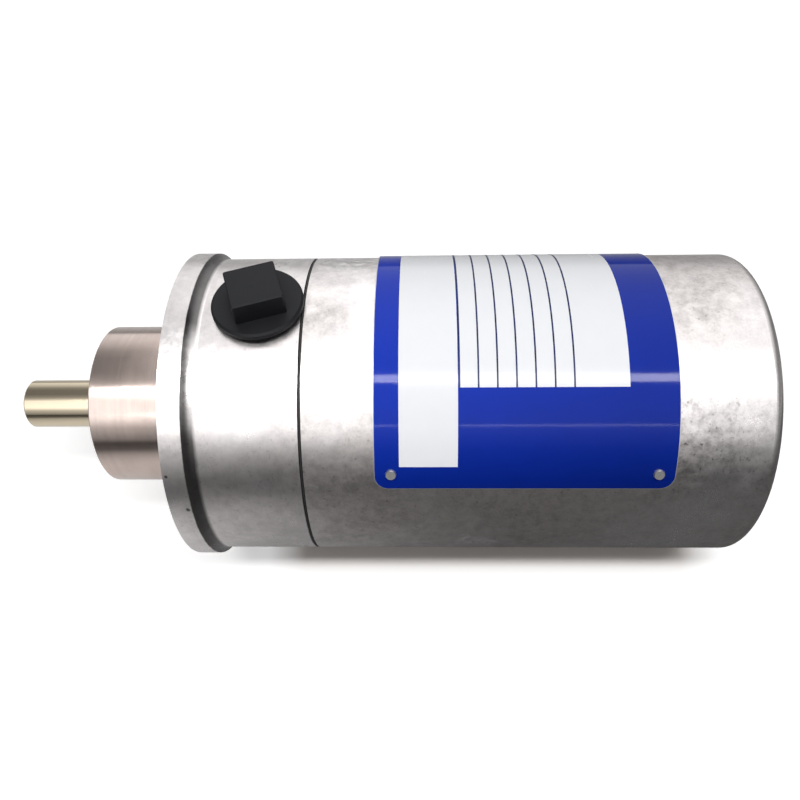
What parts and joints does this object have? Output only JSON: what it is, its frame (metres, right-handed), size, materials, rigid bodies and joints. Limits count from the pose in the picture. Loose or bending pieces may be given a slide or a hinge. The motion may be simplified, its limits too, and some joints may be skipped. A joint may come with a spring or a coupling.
{
  "type": "rotary position sensor",
  "caption": "Round flange-mounted rotary position sensor: input shaft in a pilot hub, screwed cover over a geared potentiometer and transmitter board, plugged conduit entry.",
  "frame": {"origin": "on the shaft axis, at the mounting face round the pilot boss", "axes": "+X along the shaft axis into the housing and out at the closed end of the cover; +Z out through the conduit entry and the middle of the nameplate"},
  "size_m": [0.2286, 0.099, 0.1065],
  "materials": {
    "housing": "turned and lightly oxidised",
    "cover": "brushed with cloudy oxide",
    "pilot": "finely turned stainless steel",
    "shaft": "ground and polished stainless steel",
    "steel": "bright steel",
    "dark_steel": "blackened steel",
    "seal_rubber": "matt black",
    "plug_plastic": "matt black moulded",
    "plate_blue": "gloss royal blue print on sheet metal",
    "brass": "machined",
    "wheel_brass": "hobbed and bright",
    "bronze": "sintered bronze",
    "plate_alu": "satin",
    "pot_case": "black anodised",
    "pot_cap": "moulded",
    "board_green": "solder mask",
    "black_plastic": "moulded",
    "blue_plastic": "moulded",
    "cap_sleeve": "shrink sleeve",
    "resistor_body": "lacquered",
    "lead_red": "insulated lead",
    "green_screw": "green zinc"
  },
  "bodies": {
    "housing": {"base_housing": "housing", "pilot_hub": "pilot", "hub_locknut": "steel", "shaft_seal": "seal_rubber", "outer_bearing_rings": "steel", "outer_spacer": "steel", "hub_retaining_ring": "dark_steel", "cover_seal": "seal_rubber", "front_gear_plate": "plate_alu", "rear_gear_plate": "plate_alu", "base_standoffs": "brass", "gear_standoffs": "brass", "board_standoffs": "brass", "idler_bushings": "bronze", "pot_body": "pot_case", "pot_cap": "pot_cap", "pot_turrets": "brass", "pot_clamps": "steel", "pot_clamp_screws": "steel", "pot_leads": "lead_red", "board": "board_green", "board_screws": "steel", "terminal_block": "black_plastic", "terminal_screws": "steel", "zero_trimmer": "blue_plastic", "span_trimmer": "blue_plastic", "capacitors": "cap_sleeve", "control_chips": "black_plastic", "regulator": "black_plastic", "resistors": "resistor_body", "ground_screw": "green_screw"},
    "shaft": {"input_shaft": "shaft", "inner_bearing_rings": "steel", "inner_spacer": "steel", "shaft_retaining_ring": "dark_steel", "drive_pinion": "steel", "drive_set_screw": "dark_steel"},
    "ball_sets": {"bearing_balls": "steel", "bearing_cages": "brass"},
    "idler": {"idler_shaft": "shaft", "idler_wheel": "wheel_brass", "idler_pinion": "steel"},
    "pot_rotor": {"pot_shaft": "shaft", "split_wheel_fixed": "wheel_brass", "split_wheel_loose": "wheel_brass", "split_wheel_springs": "steel", "split_wheel_ring": "dark_steel", "pot_set_screw": "dark_steel"},
    "cover": {"cover": "cover", "nameplate": "plate_blue", "nameplate_pins": "steel"},
    "plug": {"conduit_plug": "plug_plastic"},
    "zero_adjuster": {"zero_screw": "brass"},
    "span_adjuster": {"span_screw": "brass"}
  },
  "joints": [
    {"name": "shaft_turn", "type": "hinge", "parent": "housing", "child": "shaft", "pos_m": [0, 0, 0], "axis": [1, 0, 0], "continuous": true},
    {"name": "ball_roll", "type": "hinge", "parent": "housing", "child": "ball_sets", "pos_m": [0, 0, 0], "axis": [1, 0, 0], "continuous": true},
    {"name": "idler_turn", "type": "hinge", "parent": "housing", "child": "idler", "pos_m": [0, -0.0135, 0.01609], "axis": [1, 0, 0], "continuous": true},
    {"name": "pot_turn", "type": "hinge", "parent": "housing", "child": "pot_rotor", "pos_m": [0, 0, 0], "axis": [1, 0, 0], "continuous": true},
    {"name": "cover_off", "type": "slide", "parent": "housing", "child": "cover", "axis": [1, 0, 0], "range_m": [0, 0.13]},
    {"name": "plug_out", "type": "slide", "parent": "housing", "child": "plug", "axis": [0, 0, 1], "range_m": [0, 0.025]},
    {"name": "zero_turn", "type": "hinge", "parent": "housing", "child": "zero_adjuster", "pos_m": [0.12464, -0.012, 0.009], "axis": [1, 0, 0], "range_deg": [-135, 135]},
    {"name": "span_turn", "type": "hinge", "parent": "housing", "child": "span_adjuster", "pos_m": [0.12464, 0.012, 0.009], "axis": [1, 0, 0], "range_deg": [-135, 135]}
  ],
  "couplings": [
    {"joint": "ball_roll", "follows": "shaft_turn", "ratio": 0.38},
    {"joint": "idler_turn", "follows": "shaft_turn", "ratio": -0.5},
    {"joint": "pot_turn", "follows": "shaft_turn", "ratio": 0.18182}
  ]
}
